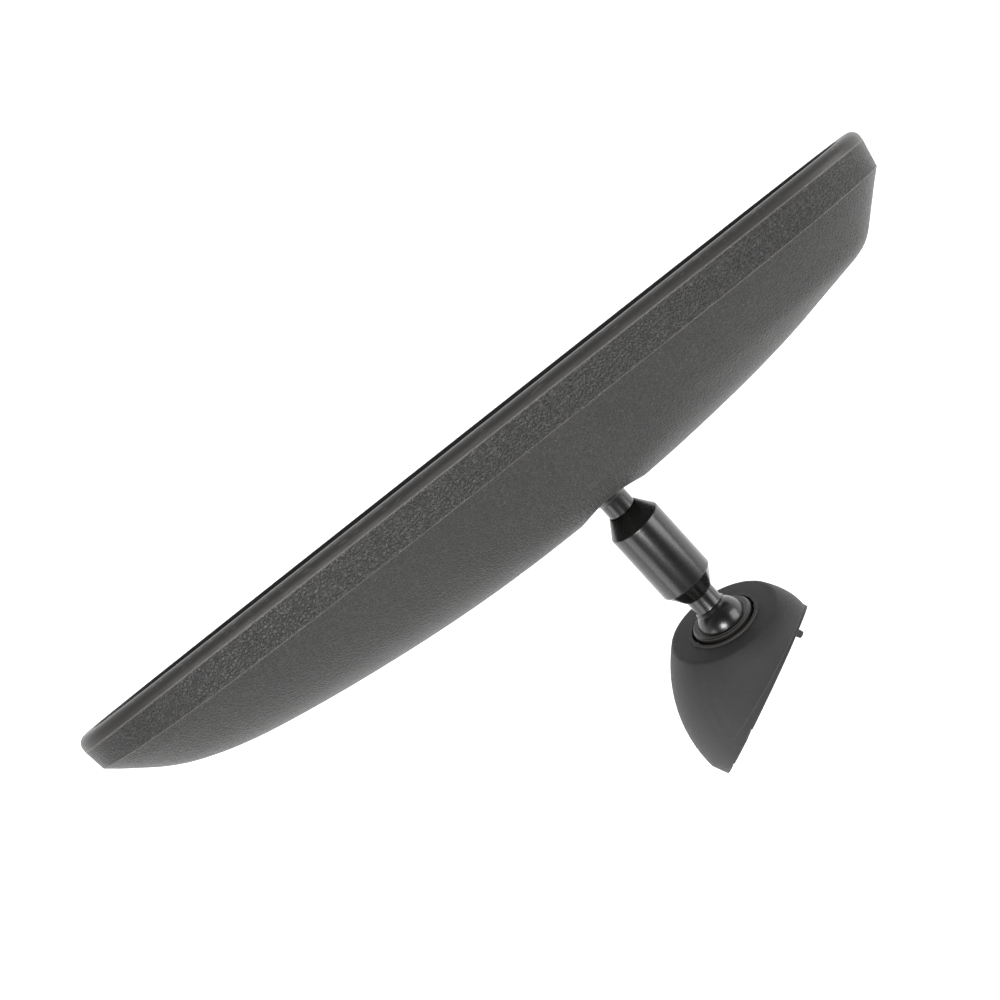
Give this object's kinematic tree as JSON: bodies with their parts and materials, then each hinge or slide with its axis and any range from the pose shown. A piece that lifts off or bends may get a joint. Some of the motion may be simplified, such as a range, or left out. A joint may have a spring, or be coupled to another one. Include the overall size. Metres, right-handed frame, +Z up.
{
  "type": "interior rearview mirror",
  "caption": "Shallow wide day/night interior mirror on a double-ball arm, with a covered foot for a glued windscreen button.",
  "frame": {"origin": "centre of the foot's windscreen contact face", "axes": "+X along the head's long axis, +Y from the glass towards the back, +Z up"},
  "size_m": [0.2474, 0.109, 0.083],
  "materials": {
    "housing_grained": "leather-grained moulded ABS, charcoal",
    "bezel_smooth": "smooth satin moulded ABS, charcoal",
    "mirror_glass": "silvered prismatic glass",
    "foam": "closed-cell foam",
    "bright_steel": "zinc-plated steel",
    "spring_steel": "hardened spring steel",
    "lever_plastic": "satin moulded acetal, black",
    "zinc_casting": "die-cast zinc alloy, as cast",
    "nylon": "moulded nylon, black",
    "black_enamel": "gloss black enamelled steel",
    "cover_plastic": "fine-textured moulded ABS, charcoal"
  },
  "bodies": {
    "foot": {"foot_body": "zinc_casting", "foot_cover": "cover_plastic", "foot_liner": "nylon", "foot_retaining_ring": "bright_steel", "foot_spring_cup": "zinc_casting", "foot_disc_springs": "spring_steel", "button_clip": "spring_steel", "set_screw": "bright_steel"},
    "foot_seat": {"foot_ball_seat": "nylon"},
    "foot_stud": {"foot_ball_stud": "black_enamel"},
    "arm": {"arm_sleeve": "black_enamel", "head_ball_stud": "black_enamel"},
    "head_seat": {"head_ball_seat": "nylon"},
    "bracket": {"socket_bracket": "zinc_casting", "head_liner": "nylon", "head_retaining_ring": "bright_steel", "head_spring_cup": "zinc_casting", "head_disc_springs": "spring_steel", "toggle_leaf": "spring_steel", "leaf_rivets": "bright_steel"},
    "head": {"rear_housing": "housing_grained", "front_bezel": "bezel_smooth", "mirror_glass": "mirror_glass", "glass_pad": "foam", "tilt_rod": "bright_steel", "lever_pin": "bright_steel"},
    "lever": {"day_night_lever": "lever_plastic"}
  },
  "joints": [
    {"name": "foot_pitch", "type": "hinge", "parent": "foot", "child": "foot_seat", "pos_m": [-0.00172, -0.02097, 0.01196], "axis": [0.6499, 0.3354, 0.682], "range_deg": [-28, 4]},
    {"name": "foot_yaw", "type": "hinge", "parent": "foot_seat", "child": "foot_stud", "pos_m": [-0.00172, -0.02097, 0.01196], "axis": [-0.7511, 0.146, 0.6439], "range_deg": [-14, 14]},
    {"name": "arm_spin", "type": "hinge", "parent": "foot_stud", "child": "arm", "pos_m": [-0.00172, -0.02097, 0.01196], "axis": [0.0667, -0.9535, 0.294], "continuous": true},
    {"name": "head_yaw", "type": "hinge", "parent": "arm", "child": "head_seat", "pos_m": [0.00162, -0.06883, 0.02672], "axis": [0, 0.2947, 0.9556], "range_deg": [-12, 18]},
    {"name": "head_pitch", "type": "hinge", "parent": "head_seat", "child": "bracket", "pos_m": [0.00162, -0.06883, 0.02672], "axis": [1, 0, 0], "range_deg": [-26, 12]},
    {"name": "day_night_tilt", "type": "hinge", "parent": "bracket", "child": "head", "pos_m": [0.00162, -0.08113, 0.04572], "axis": [-1, 0, 0], "range_deg": [0, 4.2]},
    {"name": "lever_swing", "type": "hinge", "parent": "head", "child": "lever", "pos_m": [0.00162, -0.08763, 0.00072], "axis": [-1, 0, 0], "range_deg": [0, 42]}
  ],
  "couplings": [
    {"joint": "lever_swing", "follows": "day_night_tilt", "ratio": 10}
  ]
}
